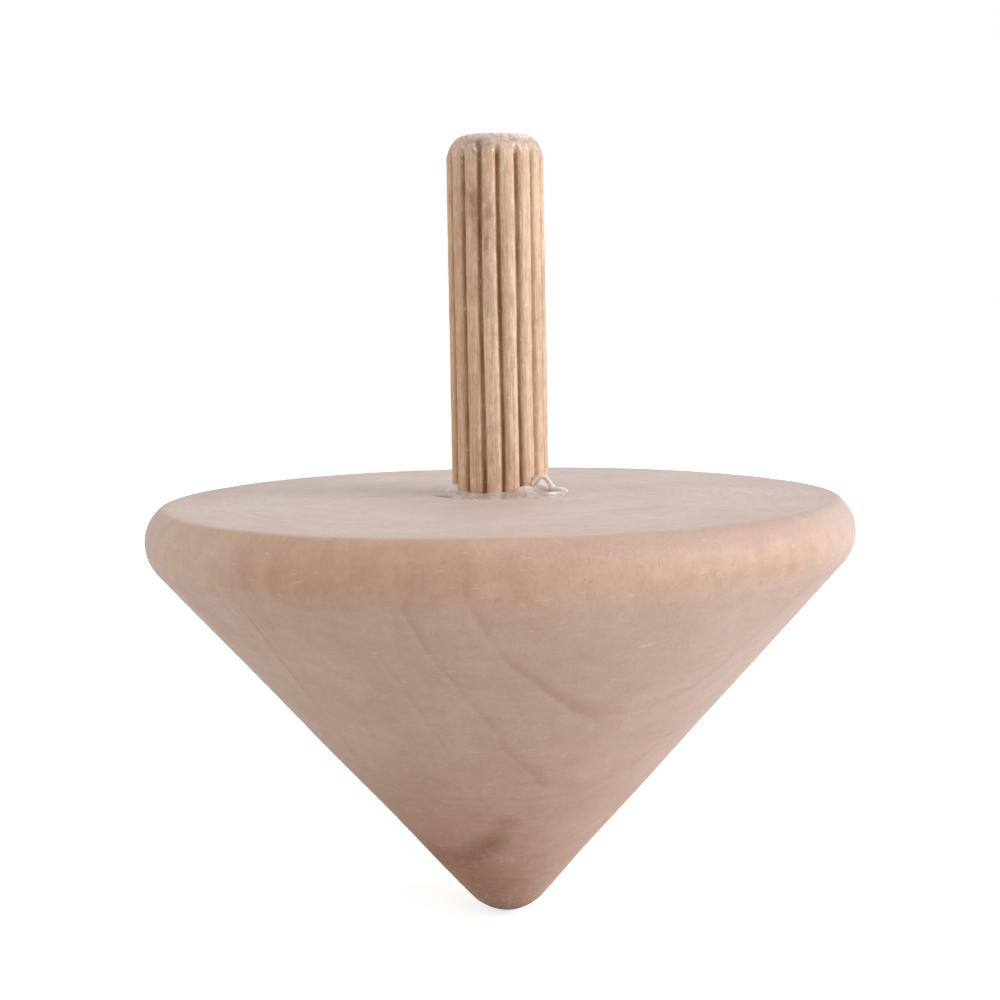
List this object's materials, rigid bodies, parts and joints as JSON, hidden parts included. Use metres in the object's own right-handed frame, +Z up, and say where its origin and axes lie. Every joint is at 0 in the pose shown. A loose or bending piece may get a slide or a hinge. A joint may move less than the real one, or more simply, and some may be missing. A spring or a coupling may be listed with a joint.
{
  "type": "spinning top",
  "caption": "Turned wooden cone with a rounded rim and tip, spun by a thin fluted dowel that is glued upright into the centre of its flat top face.",
  "frame": {"origin": "the lowest point of the rounded tip, where the top touches the ground when it spins upright", "axes": "+Z up along the spin axis, from the tip through the flat face to the end of the dowel; -Y towards the viewer and +X to the viewer's right"},
  "size_m": [0.046, 0.046, 0.053],
  "materials": {
    "cone_wood": "matte",
    "dowel_wood": "matte",
    "glue": "gloss"
  },
  "bodies": {
    "root": {"cone_body": "cone_wood", "fluted_dowel": "dowel_wood", "glue_bead": "glue", "glue_film": "glue"}
  },
  "joints": []
}
